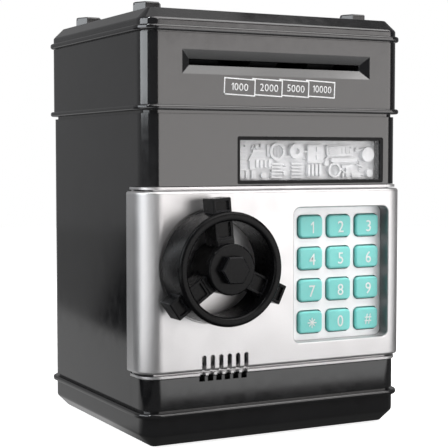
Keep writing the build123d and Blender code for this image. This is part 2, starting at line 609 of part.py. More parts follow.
def gear_blank(teeth, backlash=0.14, points=4):
    """Involute spur gear outline, with a tooth centred on the local X axis."""
    pressure = math.radians(20)
    pitch_r = GEAR_MODULE * teeth / 2
    base_r = pitch_r * math.cos(pressure)
    tip_r = pitch_r + 0.95 * GEAR_MODULE
    root_r = pitch_r - 1.25 * GEAR_MODULE
    inv = math.tan(pressure) - pressure
    half = (math.pi * GEAR_MODULE / 2 - backlash) / (2 * pitch_r)
    flank = []
    for k in range(points + 1):
        r = base_r + (tip_r - base_r) * k / points
        a = math.acos(min(1.0, base_r / r))
        flank.append((r, half + inv - (math.tan(a) - a)))
    outline = []
    for t in range(teeth):
        mid = 2 * math.pi * t / teeth
        side = [(root_r, flank[0][1])] + flank
        outline += [(r * math.cos(mid - a), r * math.sin(mid - a)) for r, a in side]
        outline += [(r * math.cos(mid + a), r * math.sin(mid + a)) for r, a in reversed(side)]
    return make_face(Polyline(*outline, close=True))


def spur_gear(teeth, x, y, z, bore, turn=0.0):
    """Gear on an X axis between two X limits; turn puts it in mesh."""
    solid = Pos(x[0], y, z) * (Plane.YZ * (Rot(0, 0, turn) * extrude(gear_blank(teeth), x[1] - x[0])))
    return solid - rod_x(bore, (x[0] - 1, x[1] + 1), y, z)


def drive_shaft():
    return rod_x(SHAFT_R - 0.0, (-50.5, 55.0), ROLLER_Y, DRIVE_Z)


def idler_shaft():
    return rod_x(SHAFT_R - 0.0, (-50.5, 50.5), ROLLER_Y, IDLER_Z)


def feed_motor():
    """Small direct-current motor in a cradle; its rotor shaft is part of the pinion node."""
    can = rod_x(MOTOR_R, (26.0, 46.8), MOTOR_Y, MOTOR_Z)
    can += rod_x(2.9, (46.5, 48.6), MOTOR_Y, MOTOR_Z)
    can += rod_x(2.6, (24.6, 26.2), MOTOR_Y, MOTOR_Z)
    can += block((28, 45), (MOTOR_Y - 6, MOTOR_Y + 6), (DECK_Z[1] + 0.02, MOTOR_Z - 3))
    return can - rod_x(1.0 + RUNNING, (40, 50), MOTOR_Y, MOTOR_Z)


def motor_pinion():
    turn = 180 + MOTOR_ANGLE - 180 / PINION_TEETH
    gear = spur_gear(PINION_TEETH, GEAR_X, MOTOR_Y, MOTOR_Z, 0.5, turn)
    return gear + rod_x(1.0, (41.0, GEAR_X[1] + 0.5), MOTOR_Y, MOTOR_Z)


# ---------------------------------------------------------------- door
def door_plan(half_w, front_y, radius, knuckle, z, back_y=DOOR_BACK_Y):
    """Door outline in plan: rounded front corners, rear edge of the hinge side rounded about the pivot."""
    body = slab(2 * half_w, 60, radius, z, (0, front_y + 30))
    body &= block((-90, 90), (-90, back_y), z)
    corner = block((PIVOT_X, 90), (PIVOT_Y, back_y + 1), z)
    body -= corner
    return body + (rod_z(knuckle, PIVOT_X, PIVOT_Y, z) & block((PIVOT_X, 90), (PIVOT_Y, 0), z)
                   & block((-90, 90), (-90, back_y), z))


def door_shell():
    """Silver face of the door: front plate, wrapped sides, keypad well, vents and wheel boss."""
    half = HALF_W + DOOR_PROUD + 0.1
    outer = slab(2 * half, 60, CORNER_R + DOOR_PROUD, DOOR_Z, (0, DOOR_Y + 30))
    outer = fillet(edges_at(outer, DOOR_Z[0]) + edges_at(outer, DOOR_Z[1]), 1.2)
    outer &= door_plan(half, DOOR_Y, CORNER_R + DOOR_PROUD, KNUCKLE_R, DOOR_Z)
    inner_z = (DOOR_Z[0] + 1.6, DOOR_Z[1] - 1.6)
    inner = door_plan(HALF_W + 0.1, FRONT_Y - 0.1, CORNER_R, KNUCKLE_R - 2.2, inner_z, 0)
    shell = outer - inner
    # top and bottom returns reach back only as far as the liner's side walls allow
    shell -= door_plan(HALF_W + 0.1, -52.0, 0.5, KNUCKLE_R - 2.2, (DOOR_Z[0] - 1, DOOR_Z[1] + 1), 0)
    well_back = PLATE_Y + PLATE_T
    well = panel(WELL_W + 2.4, WELL_H + 2.4, WELL_R + 1.2, WELL_X, WELL_Z, (FRONT_Y - 1, well_back))
    shell += well
    shell -= panel(WELL_W, WELL_H, WELL_R, WELL_X, WELL_Z, (DOOR_Y - 1, well_back + 1))
    lip = edges_at_y(shell, DOOR_Y)
    lip = [e for e in lip if 5 < e.center().X < 58.5 and 41 < e.center().Z < 104]
    shell = fillet(lip, 0.6)
    groove = rod_y(24.6, WHEEL_X, (DOOR_Y - 1, DOOR_Y + 0.5), WHEEL_Z)
    groove -= rod_y(19.3, WHEEL_X, (DOOR_Y - 2, DOOR_Y + 1), WHEEL_Z)
    shell -= groove
    shell += rod_y(6.0, WHEEL_X, (FRONT_Y - 1, -50.0), WHEEL_Z)
    shell -= rod_y(SPINDLE_R + RUNNING, WHEEL_X, (DOOR_Y - 1, -48), WHEEL_Z)
    for slot in vent_slots(VENT_W, (DOOR_Z[0] - 2, VENT_TOP), (DOOR_Y - 1, FRONT_Y + 1.5)):
        shell -= slot
    return shell


def door_liner():
    """Inner tray of the door: back wall, hinge knuckles and two flanges whose edges show outside."""
    half = HALF_W + LINER_PROUD
    tray = block((-HALF_W + 0.1, PIVOT_X - 1.5), (DOOR_BACK_Y - 1.8, DOOR_BACK_Y), LINER_Z)
    for z in ((LINER_Z[0], LINER_Z[0] + 1.1), (LINER_Z[1] - 1.1, LINER_Z[1])):
        tray += door_plan(half, FRONT_Y - LINER_PROUD, CORNER_R + LINER_PROUD, half - PIVOT_X, z)
    for z in ((LINER_Z[0] + 1.0, DOOR_Z[0] - 0.05), (DOOR_Z[1] + 0.05, LINER_Z[1] - 1.0)):
        tray += block((-60, 58), (-55.5, DOOR_BACK_Y - 1), z)
    for z in ((LINER_Z[0], 41.5), (101.5, LINER_Z[1])):
        tray += rod_z(2.45, PIVOT_X, PIVOT_Y, z)
        tray += block((PIVOT_X - 2.4, PIVOT_X), (PIVOT_Y + 0.5, DOOR_BACK_Y), z)
    for z in ((LINER_Z[0] - 1, 40.6), (102.4, LINER_Z[1] + 1)):
        tray -= rod_z(PIN_R + RUNNING, PIVOT_X, PIVOT_Y, z)
    tray -= rod_y(SPINDLE_R + RUNNING, WHEEL_X, (-60, -40), WHEEL_Z)
    for slot in vent_slots(VENT_FRAME_W, (LINER_Z[0] - 1, LINER_Z[0] + 4), (FRONT_Y - 2, FRONT_Y + 1.5)):
        tray -= slot
    return tray


def key_centres():
    for row in range(4):
        for column in range(3):
            yield (WELL_X + KEYS_X + (column - 1) * KEY_PITCH_X,
                   WELL_Z + KEYS_Z + (1.5 - row) * KEY_PITCH_Z)


def keypad_plate():
    """Floor of the keypad well, with a square hole for each key."""
    plate = panel(WELL_W - 0.1, WELL_H - 0.1, WELL_R, WELL_X, WELL_Z, (PLATE_Y, PLATE_Y + PLATE_T))
    for x, z in key_centres():
        hole = (KEY_W + 2 * KEY_GAP, KEY_H + 2 * KEY_GAP, KEY_R + KEY_GAP)
        plate -= panel(*hole, x, z, (PLATE_Y - 1, PLATE_Y + 3))
    return plate


KEY_FLANGE_Y = (PLATE_Y + PLATE_T + 0.3, PLATE_Y + PLATE_T + 1.3)


def key(x, z):
    """One key: a low cap with soft edges and a flange that keeps it behind the plate."""
    front = PLATE_Y - KEY_PROUD
    cap = panel(KEY_W, KEY_H, KEY_R, x, z, (front, KEY_FLANGE_Y[0] + 0.2))
    cap = fillet(edges_at_y(cap, front), 0.9)
    return cap + panel(KEY_W + 2.0, KEY_H + 2.4, KEY_R, x, z, KEY_FLANGE_Y)


MEMBRANE_Y = (KEY_FLANGE_Y[1] + KEY_TRAVEL + 0.85, KEY_FLANGE_Y[1] + KEY_TRAVEL + 1.5)
KEY_BOARD_Y = (MEMBRANE_Y[1] + 0.05, MEMBRANE_Y[1] + 1.2)


def key_membrane():
    """Rubber sheet with a dome behind each key."""
    sheet = panel(WELL_W - 1, WELL_H - 1, 2.0, WELL_X, WELL_Z, MEMBRANE_Y)
    for x, z in key_centres():
        sheet += rod_y(3.0, x, (MEMBRANE_Y[0] - 0.55, MEMBRANE_Y[0] + 0.1), z)
    return sheet


def keypad_board():
    return panel(WELL_W, WELL_H, 1.0, WELL_X, WELL_Z, KEY_BOARD_Y)


LINER_SCREWS = [(-56.0, 40.0), (-56.0, 103.0), (-6.0, 36.5), (-6.0, 107.0)]


def door_screws():
    """Screws through the back of the liner."""
    screws = []
    for x, z in LINER_SCREWS:
        head = rod_y(2.4, x, (DOOR_BACK_Y + 0.02, DOOR_BACK_Y + 0.72), z)
        head -= block((x - 1.6, x + 1.6), (DOOR_BACK_Y + 0.4, DOOR_BACK_Y + 2), (z - 0.3, z + 0.3))
        screws.append(head)
    return screws


# ---------------------------------------------------------------- handwheel and latch
def handwheel():
    """Deep rim on three spokes whose ends stand out of it as square lugs."""
    rim = rod_y(RIM_R, WHEEL_X, RIM_Y, WHEEL_Z) - rod_y(RIM_R - RIM_WALL, WHEEL_X, (-90, -50), WHEEL_Z)
    rim = fillet(edges_at_y(rim, RIM_Y[0]), 1.5)
    hub = rod_y(HUB_R, WHEEL_X, (HUB_FRONT_Y, RIM_Y[1]), WHEEL_Z)
    hub = fillet(edges_at_y(hub, HUB_FRONT_Y), 0.8)
    wheel = rim + hub
    for k in range(3):
        turn = Pos(WHEEL_X, 0, WHEEL_Z) * Rot(0, 120 * k - WHEEL_TILT, 0) * Pos(-WHEEL_X, 0, -WHEEL_Z)
        spoke = block((WHEEL_X - SPOKE_W / 2, WHEEL_X + SPOKE_W / 2), SPOKE_Y,
                      (WHEEL_Z + 6, WHEEL_Z + SPOKE_TIP_R))
        spoke = fillet(edges_at_y(spoke, SPOKE_Y[0]) + edges_at(spoke, WHEEL_Z + SPOKE_TIP_R), 0.5)
        channel = block((WHEEL_X - SPOKE_W / 2 + 1.2, WHEEL_X + SPOKE_W / 2 - 1.2),
                        (SPOKE_Y[0] - 1, SPOKE_Y[0] + 1.2),
                        (WHEEL_Z + 13.4, WHEEL_Z + RIM_R - RIM_WALL - 0.6))
        pocket = block((WHEEL_X - SPOKE_W / 2 + 1.2, WHEEL_X + SPOKE_W / 2 - 1.2),
                       (SPOKE_Y[0] - 1, SPOKE_Y[0] + 1.2),
                       (WHEEL_Z + RIM_R + 0.4, WHEEL_Z + SPOKE_TIP_R - 1.2))
        step = block((WHEEL_X - SPOKE_W / 2 + 0.4, WHEEL_X + SPOKE_W / 2 - 0.4),
                     (SPOKE_Y[0] - 0.7, SPOKE_Y[0] + 0.5), (WHEEL_Z + 9, WHEEL_Z + 12.4))
        wheel += turn * (spoke - channel - pocket + step)
    return wheel - rod_y(SPINDLE_R, WHEEL_X, (HUB_FRONT_Y - 1, -50), WHEEL_Z)


def wheel_bolt():
    """Hexagon cap in the middle of the handwheel, with a plug that fills the hub's bore."""
    head = Pos(WHEEL_X, HUB_FRONT_Y - 0.02, WHEEL_Z) * Rot(90, 0, 0) * extrude(
        RegularPolygon(HEX_ACROSS / 2, 6, major_radius=False, rotation=0), HEX_H)
    head = chamfer(edges_at_y(head, HUB_FRONT_Y - 0.02 - HEX_H), 0.5)
    return head + rod_y(SPINDLE_R - 0.02, WHEEL_X, (HUB_FRONT_Y - 1, HUB_FRONT_Y + 3.4), WHEEL_Z)


CAM_Y = (-38.9, -36.6)


def spindle():
    """Shaft from the handwheel through the door to the latch cam, with a squared inner end."""
    shaft = rod_y(SPINDLE_R - 0.02, WHEEL_X, (HUB_FRONT_Y + 3.6, CAM_Y[0]), WHEEL_Z)
    square = block((WHEEL_X - 1.8, WHEEL_X + 1.8), (CAM_Y[0] - 0.5, CAM_Y[1] + 1.2),
                   (WHEEL_Z - 1.8, WHEEL_Z + 1.8))
    return shaft + square


CAM_REACH = 23.6
CAM_W = 9.0


def latch_cam():
    """Latch tongue on the spindle: hangs down when unlatched, swings behind the left jamb to latch."""
    disc = rod_y(6.5, WHEEL_X, CAM_Y, WHEEL_Z)
    arm = block((WHEEL_X - CAM_W / 2, WHEEL_X + CAM_W / 2), CAM_Y, (WHEEL_Z - CAM_REACH + CAM_W / 2, WHEEL_Z))
    tip = rod_y(CAM_W / 2, WHEEL_X, CAM_Y, WHEEL_Z - CAM_REACH + CAM_W / 2)
    cam = disc + arm + tip
    return cam - block((WHEEL_X - 1.82, WHEEL_X + 1.82), (CAM_Y[0] - 1, CAM_Y[1] + 1),
                       (WHEEL_Z - 1.82, WHEEL_Z + 1.82))


def retaining_washer():
    """Washer that keeps the spindle in the door, between the liner and the cam."""
    y = (DOOR_BACK_Y + 0.3, DOOR_BACK_Y + 1.3)
    washer = rod_y(6.0, WHEEL_X, y, WHEEL_Z)
    return washer - rod_y(SPINDLE_R, WHEEL_X, (y[0] - 1, y[1] + 1), WHEEL_Z)


PLUNGER_R, PLUNGER_Y, PLUNGER_TRAVEL = 1.4, -47.6, 3.0
DISC_R = 7.0
DISC_Y = (-49.6, -45.6)


def index_disc():
    """Disc on the spindle with a notch for the lock plunger in each end position of the wheel."""
    bore = rod_y(SPINDLE_R, WHEEL_X, (DISC_Y[0] - 1, DISC_Y[1] + 1), WHEEL_Z)
    disc = rod_y(DISC_R, WHEEL_X, DISC_Y, WHEEL_Z) - bore
    half = PLUNGER_R + 0.4
    notch_y = (DISC_Y[0] - 1, DISC_Y[1] + 1)
    disc -= block((WHEEL_X + DISC_R - 3.4, WHEEL_X + 10), notch_y, (WHEEL_Z - half, WHEEL_Z + half))
    disc -= block((WHEEL_X - half, WHEEL_X + half), notch_y, (WHEEL_Z + DISC_R - 3.4, WHEEL_Z + 10))
    return disc


def lock_plunger():
    """Iron plunger of the lock, which slides along X into a notch."""
    tip = WHEEL_X + DISC_R + 0.4
    pin = rod_x(PLUNGER_R, (tip, -6.0), PLUNGER_Y, WHEEL_Z)
    return pin + rod_x(2.4, (-20.0, -19.0), PLUNGER_Y, WHEEL_Z)


def lock_solenoid():
    """Electromagnet inside the door that holds the wheel until the code is entered."""
    body = block((-15.5, -1.5), (-56.0, DOOR_BACK_Y - 1.85), (WHEEL_Z - 6, WHEEL_Z + 6))
    return body - rod_x(PLUNGER_R + RUNNING, (-20, -4), PLUNGER_Y, WHEEL_Z)


# ---------------------------------------------------------------- write the nodes
def main():
    os.makedirs("parts", exist_ok=True)
    write("base_tray", base_tray())
    write("rubber_feet", *rubber_feet())
    write("battery_cover", battery_cover())
    write("battery_screw", battery_screw())
    write("battery_box", battery_box())
    write("battery_cells", *battery_cells())
    write("battery_contacts", *battery_contacts())
    write("speaker", speaker())
    write("main_board", main_board())
    write("rear_shell", rear_shell())
    write("front_frame", front_frame())
    write("safe_floor", safe_floor())
    write("hinge_pins", *hinge_pins())
    write("case_screws", *case_screws())
    write("strike_plate", strike_plate())
    write("window_bezel", window_bezel())
    write("window_lens", window_lens())
    write("relief_panel", relief_panel())
    write("indicator_leds", *indicator_leds())
    write("led_board", led_board())
    write("upper_housing", upper_housing())
    write("mechanism_deck", mechanism_deck())
    write("lid", lid())
    write("corner_bolts", *corner_bolts())
    write("coin_chute", coin_chute())
    write("roller_brackets", bracket(-1), bracket(1))
    write("note_guide", note_guide())
    write("drive_shaft", drive_shaft())
    write("drive_rollers", *tyres(DRIVE_R, DRIVE_Z))
    write("drive_gear", spur_gear(GEAR_TEETH, GEAR_X, ROLLER_Y, DRIVE_Z, SHAFT_R))
    write("idler_shaft", idler_shaft())
    write("idler_rollers", *tyres(IDLER_R, IDLER_Z))
    write("feed_motor", feed_motor())
    write("motor_pinion", motor_pinion())
    write("door_shell", door_shell())
    write("door_liner", door_liner())
    write("keypad_plate", keypad_plate())
    for name, (x, z) in zip(KEY_NAMES, key_centres()):
        write(f"key_{name}", key(x, z))
    write("key_membrane", key_membrane())
    write("keypad_board", keypad_board())
    write("door_screws", *door_screws())
    write("handwheel", handwheel())
    write("wheel_bolt", wheel_bolt())
    write("spindle", spindle())
    write("latch_cam", latch_cam())
    write("retaining_washer", retaining_washer())
    write("index_disc", index_disc())
    write("lock_solenoid", lock_solenoid())
    write("lock_plunger", lock_plunger())


KEY_NAMES = ("1", "2", "3", "4", "5", "6", "7", "8", "9", "star", "0", "hash")

main()
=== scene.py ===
"""Looks, camera and light for the toy cash-machine savings bank. Metres, row frame: +Z up, door to -Y."""

import json
import math

import bmesh
import bpy
from mathutils import Matrix, Vector

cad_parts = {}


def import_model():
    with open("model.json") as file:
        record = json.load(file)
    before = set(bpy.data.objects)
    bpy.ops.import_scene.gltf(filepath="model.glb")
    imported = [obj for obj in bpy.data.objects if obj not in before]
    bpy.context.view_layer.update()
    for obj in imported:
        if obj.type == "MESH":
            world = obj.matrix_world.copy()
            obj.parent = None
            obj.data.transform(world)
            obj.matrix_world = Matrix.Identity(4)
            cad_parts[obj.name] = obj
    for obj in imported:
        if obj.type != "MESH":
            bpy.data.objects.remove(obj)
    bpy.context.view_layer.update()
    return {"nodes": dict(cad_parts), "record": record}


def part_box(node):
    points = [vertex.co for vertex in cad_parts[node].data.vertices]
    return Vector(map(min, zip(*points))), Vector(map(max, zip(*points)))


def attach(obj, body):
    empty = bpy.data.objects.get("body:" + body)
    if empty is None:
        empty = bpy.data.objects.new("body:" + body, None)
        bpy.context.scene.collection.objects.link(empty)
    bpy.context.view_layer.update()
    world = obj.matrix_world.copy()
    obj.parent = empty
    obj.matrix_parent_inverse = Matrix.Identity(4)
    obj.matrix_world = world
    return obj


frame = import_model()
MM = 0.001

# ---------------------------------------------------------------- materials


class Graph:
    """A material's node tree, with short ways to add nodes and links."""

    def __init__(self, name):
        self.material = bpy.data.materials.new(name)
        self.material.use_nodes = True
        self.tree = self.material.node_tree
        self.shader = self.tree.nodes["Principled BSDF"]
        self.place = self.node("ShaderNodeTexCoord").outputs["Object"]

    def node(self, kind, inputs=None, **settings):
        made = self.tree.nodes.new(kind)
        for key, value in settings.items():
            setattr(made, key, value)
        for key, value in (inputs or {}).items():
            self.feed(made.inputs[key], value)
        return made

    def feed(self, socket, value):
        if isinstance(value, bpy.types.NodeSocket):
            self.tree.links.new(value, socket)
        elif hasattr(socket.default_value, "__len__") and len(socket.default_value) == 4 and len(value) == 3:
            socket.default_value = (*value, 1.0)
        else:
            socket.default_value = value

    def noise(self, size, detail=3.0, rough=0.55, stretch=None):
        """Noise whose features are about size metres across."""
        place = self.place
        if stretch:
            place = self.node("ShaderNodeMapping", {"Vector": place, "Scale": stretch}).outputs[0]
        return self.node("ShaderNodeTexNoise", {"Vector": place, "Scale": 1.0 / size, "Detail": detail,
                                                "Roughness": rough}).outputs["Fac"]

    def spread(self, value, low, high, start=0.3, end=0.7):
        """Maps a noise value onto low to high."""
        return self.node("ShaderNodeMapRange", {"Value": value, "From Min": start, "From Max": end,
                                                "To Min": low, "To Max": high}).outputs["Result"]

    def mix(self, amount, a, b):
        made = self.node("ShaderNodeMix", data_type="RGBA")
        self.feed(made.inputs["Factor"], amount)
        self.feed(made.inputs[6], a)
        self.feed(made.inputs[7], b)
        return made.outputs[2]

    def product(self, a, b):
        return self.node("ShaderNodeMath", {0: a, 1: b}, operation="MULTIPLY").outputs[0]

    def scene_normal(self, axis):
        """One component of the surface normal in the scene, which turns with a moving body."""
        normal = self.node("ShaderNodeNewGeometry").outputs["Normal"]
        return self.node("ShaderNodeSeparateXYZ", {"Vector": normal}).outputs[axis]

    def edges(self, radius):
        """Rounded normal, and a mask that is 1 along sharp edges."""
        soft = self.node("ShaderNodeBevel", {"Radius": radius}, samples=4).outputs["Normal"]
        hard = self.node("ShaderNodeNewGeometry").outputs["Normal"]
        dot = self.node("ShaderNodeVectorMath", operation="DOT_PRODUCT")
        self.feed(dot.inputs[0], soft)
        self.feed(dot.inputs[1], hard)
        return soft, self.spread(dot.outputs["Value"], 1.0, 0.0, 0.86, 0.995)


def shade(color, factor):
    return tuple(min(1.0, c * factor) for c in color[:3])


def surface(name, color, roughness, metallic=0.0, ior=1.5, tone=0.06, tone_size=0.012, grain=0.0004,
            depth=0.00001, variation=0.05, edge_radius=0.00025, edge_light=1.25, stretch=None, coat=0.0,
            shine=0.5):
    """Moulded or painted surface: slow colour drift, fine grain, uneven gloss and lighter sharp edges,
    slightly rubbed at a small edge_light and a painted highlight at a large one.
    """
    g = Graph(name)
    drift = g.noise(tone_size, stretch=stretch)
    fine = g.noise(grain, detail=2.0, stretch=stretch)
    normal, edge = g.edges(edge_radius)
    base = g.mix(g.spread(drift, 0.0, 1.0), shade(color, 1 - tone), shade(color, 1 + tone))
    # lighter patches along sharp edges: rubbing, and painted highlight where edge_light is large
    edge_patches = g.spread(g.noise(0.002), 0.3, 1.0)
    wear_and_highlight = g.node("ShaderNodeMath", operation="MULTIPLY")
    g.feed(wear_and_highlight.inputs[0], edge)
    g.feed(wear_and_highlight.inputs[1], edge_patches)
    g.feed(g.shader.inputs["Base Color"], g.mix(wear_and_highlight.outputs[0], base, shade(color, edge_light)))
    uneven = g.noise(tone_size * 0.4, detail=5.0, stretch=stretch)
    g.feed(g.shader.inputs["Roughness"], g.spread(uneven, roughness - variation, roughness + variation))
    bump = g.node("ShaderNodeBump", {"Height": fine, "Distance": depth, "Strength": 1.0, "Normal": normal})
    g.feed(g.shader.inputs["Normal"], bump.outputs["Normal"])
    g.shader.inputs["Metallic"].default_value = metallic
    g.shader.inputs["IOR"].default_value = ior
    g.shader.inputs["Specular IOR Level"].default_value = shine
    g.shader.inputs["Coat Weight"].default_value = coat
    g.shader.inputs["Coat Roughness"].default_value = 0.08
    return g


def see_through(name, color, alpha, roughness):
    """Clear moulding: faint colour, faint flow marks."""
    g = surface(name, color, roughness, tone=0.02, depth=0.000004, variation=0.01, edge_light=1.0)
    g.shader.inputs["Alpha"].default_value = alpha
    return g


def circuit_board():
    """Green solder mask over paler tracks."""
    g = surface("circuit_board", (0.02, 0.16, 0.07), 0.35, tone=0.12)
    cells = g.node("ShaderNodeTexVoronoi", {"Vector": g.place, "Scale": 420.0}, feature="DISTANCE_TO_EDGE")
    track = g.spread(cells.outputs["Distance"], 1.0, 0.0, 0.04, 0.09)
    g.feed(g.shader.inputs["Base Color"], g.mix(track, (0.02, 0.16, 0.07), (0.05, 0.3, 0.12)))
    return g


def cell_wrapper():
    """Printed sleeve of a battery cell, with a copper-coloured end."""
    g = surface("cell_wrapper", (0.02, 0.03, 0.05), 0.3, tone=0.1)
    along = g.node("ShaderNodeSeparateXYZ", {"Vector": g.place}).outputs["X"]
    band = g.spread(along, 0.0, 1.0, 0.0130, 0.0134)
    g.feed(g.shader.inputs["Base Color"], g.mix(band, (0.02, 0.03, 0.05), (0.7, 0.3, 0.1)))
    return g


def silver_paint():
    """Silver lacquer over plastic: metal flakes, slight orange peel.

    The right wall of the keypad recess gets painted shade: it is coloured near black, as if unlit. It is
    picked by its normal in the scene, not on the door, so it is right only while the door is shut.
    """
    g = surface("silver_paint", SILVER, 0.36, metallic=0.85, tone=0.02, tone_size=0.03, grain=0.0009,
                depth=0.000006, variation=0.04, edge_radius=0.0004, edge_light=1.12, coat=0.15)
    flakes = g.node("ShaderNodeTexVoronoi", {"Vector": g.place, "Scale": 5200.0})
    glint = g.spread(flakes.outputs["Distance"], 1.0, 0.0, 0.0, 0.6)
    drift = g.spread(g.noise(0.03), 0.0, 1.0)
    base = g.mix(drift, shade(SILVER, 0.985), shade(SILVER, 1.015))
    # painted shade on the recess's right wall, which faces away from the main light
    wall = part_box("keypad_plate")[1].x
    across = g.node("ShaderNodeSeparateXYZ", {"Vector": g.place}).outputs["X"]
    inside = g.spread(across, 0.0, 1.0, wall - 3 * MM, wall - 2 * MM)
    unlit = g.spread(g.scene_normal("X"), WALL_PAINTED_SHADE, 0.0, -0.9, -0.3)
    outer = g.spread(across, 1.0, 0.0, wall + 2 * MM, wall + 3 * MM)
    base = g.mix(g.product(g.product(inside, unlit), outer), base, shade(SILVER, 0.04))
    g.feed(g.shader.inputs["Base Color"], g.mix(g.spread(glint, 0.0, 0.10, 0.0, 1.0), base, (1.0, 1.0, 1.0)))
    return g


def teal_key():
    """Slightly translucent moulded key."""
    g = surface("teal_key", TEAL, 0.38, tone=0.03, grain=0.0003, depth=0.000008, edge_radius=0.0003,
                edge_light=1.12)
    g.shader.inputs["Subsurface Weight"].default_value = 0.6
    g.shader.inputs["Subsurface Radius"].default_value = (1.0, 1.0, 1.0)
    g.shader.inputs["Subsurface Scale"].default_value = 2.5 * MM
    return g


def pale_plate():
    """Pale paint on the front, with painted shade on the walls of its holes: they are coloured near black so
    that the gaps round the keys look dark.

    The front is picked by its normal in the scene, so it turns dark when the door swings open.
    """
    g = surface("pale_plate", (0.86, 0.87, 0.885), 0.4, metallic=0.3, tone=0.03)
    # painted shade: the hole walls go near black, for the shadow in the gaps round the keys
    hole_wall_shade = g.spread(g.scene_normal("Y"), 0.0, 1.0, -0.75, -0.55)
    painted = g.mix(g.spread(g.noise(0.01), 0.0, 1.0), (0.84, 0.85, 0.865), (0.88, 0.89, 0.905))
    g.feed(g.shader.inputs["Base Color"], g.mix(hole_wall_shade, painted, (0.02, 0.021, 0.022)))
    return g


BLACK = (0.0085, 0.0085, 0.0092)
SILVER = (0.6, 0.593, 0.598)
TEAL = (0.25, 0.75, 0.71)
WALL_PAINTED_SHADE = 0.72          # painted shade: how far the recess's right wall is painted towards black

MATERIALS = {
    "black_gloss": lambda: surface("black_gloss", BLACK, 0.11, ior=1.73, tone=0.15, grain=0.0006,
                                   depth=0.000002, variation=0.03, edge_light=3.0),
    # edge_light=20 paints highlights along the sharp edges of the black satin parts
    "black_satin": lambda: surface("black_satin", (0.0034, 0.0034, 0.0038), 0.27, tone=0.15, grain=0.00025,
                                   depth=0.000006, variation=0.02, edge_radius=0.0004, edge_light=20.0,
                                   shine=0.12),
    "silver_paint": silver_paint,
    "teal_key": teal_key,
    "pale_plate": pale_plate,
    "relief_white": lambda: surface("relief_white", (0.77, 0.775, 0.79), 0.3, tone=0.08, tone_size=0.004,
                                    edge_radius=0.0002, edge_light=1.5, coat=0.3),
    "clear_lens": lambda: see_through("clear_lens", (0.95, 0.97, 1.0), 0.07, 0.05),
    "rubber": lambda: surface("rubber", (0.022, 0.022, 0.024), 0.7, tone=0.2, depth=0.00003),
    "steel": lambda: surface("steel", (0.56, 0.56, 0.58), 0.28, metallic=1.0, tone=0.06,
                             stretch=(0.15, 1.0, 1.0)),
    "zinc": lambda: surface("zinc", (0.52, 0.53, 0.56), 0.36, metallic=1.0, tone=0.1, tone_size=0.003),
    "board_green": circuit_board,
    "grey_plastic": lambda: surface("grey_plastic", (0.07, 0.07, 0.074), 0.5, tone=0.1, depth=0.00002),
    "gear_white": lambda: surface("gear_white", (0.7, 0.69, 0.64), 0.42, tone=0.05),
    "cell_wrap": cell_wrapper,
    "lamp_clear": lambda: see_through("lamp_clear", (0.8, 0.88, 1.0), 0.5, 0.08),
    # dark grey membrane behind the keys; its dark colour also stands in for the shade in the gaps round the
    # keys
    "silicone": lambda: surface("silicone", (0.045, 0.05, 0.052), 0.6, tone=0.1, depth=0.00002),
}
slot_material = {}


def material(slot):
    if slot not in slot_material:
        slot_material[slot] = MATERIALS[slot]().material
    return slot_material[slot]


def finish_cad_nodes():
    """Gives every CAD node the material of its slot, and smooth shading between its sharp edges."""
    slots = {part["node"]: part["material_slot"] for part in frame["record"]["subparts"]}
    for name, node in frame["nodes"].items():
        node.data.materials.clear()
        node.data.materials.append(material(slots[name]))
        node.data.shade_smooth()
        node.data.set_sharp_from_angle(angle=math.radians(32))


# ---------------------------------------------------------------- pieces


def piece(name, mesh, body, surface_material):
    made = bpy.data.objects.new(name, mesh)
    bpy.context.scene.collection.objects.link(made)
    mesh.materials.clear()
    mesh.materials.append(surface_material)
    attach(made, body)
    return made


def block(bm, low, high, turn=None):
    """Adds a box to a mesh, between two corners, optionally turned by a matrix."""
    middle = (Vector(low) + Vector(high)) / 2
    size = Vector(high) - Vector(low)
    place = Matrix.Translation(middle) @ Matrix.Diagonal((*size, 1.0))
    bmesh.ops.create_cube(bm, size=1.0, matrix=turn @ place if turn else place)


def to_mesh(bm, name):
    mesh = bpy.data.meshes.new(name)
    bm.to_mesh(mesh)
    bm.free()
    return mesh


FACING_FRONT = Matrix.Rotation(math.pi / 2, 4, "X")
INK = 0.06 * MM


def digit_one():
    """Outline of a 1 with a flag at its top, as corners in a unit-high letter box."""
    return ((0.23, 0.0), (0.23, 0.79), (0.04, 0.66), (0.04, 0.78), (0.26, 1.0), (0.36, 1.0), (0.36, 0.0))


def lettering(name, text, height, weight=0.0, squeeze=1.0):
    """Thin raised ink of a number, upright in the XZ plane and centred on the origin."""
    bm = bmesh.new()
    pen = 0.0
    for letter in text:
        if letter == "1":
            glyph = bmesh.new()
            glyph.faces.new([glyph.verts.new((x, y, 0.0)) for x, y in digit_one()])
            grown = bmesh.ops.extrude_face_region(glyph, geom=glyph.faces[:])["geom"]
            raised = [v for v in grown if isinstance(v, bmesh.types.BMVert)]
            bmesh.ops.translate(glyph, vec=(0, 0, 1), verts=raised)
            mesh = to_mesh(glyph, "digit_one")
        else:
            mesh = font_glyph(letter, weight)
        width = max(v.co.x for v in mesh.vertices)
        mesh.transform(Matrix.Translation((pen, 0.0, 0.0)))
        bm.from_mesh(mesh)
        bpy.data.meshes.remove(mesh)
        pen += width + 0.14
    bmesh.ops.recalc_face_normals(bm, faces=bm.faces[:])
    mesh = to_mesh(bm, name)
    low = Vector(min(v.co[i] for v in mesh.vertices) for i in range(3))
    high = Vector(max(v.co[i] for v in mesh.vertices) for i in range(3))
    fit = Matrix.Diagonal((height * squeeze, height, INK, 1.0))
    mesh.transform(FACING_FRONT @ fit @ Matrix.Translation(-(low + high) / 2))
    return mesh


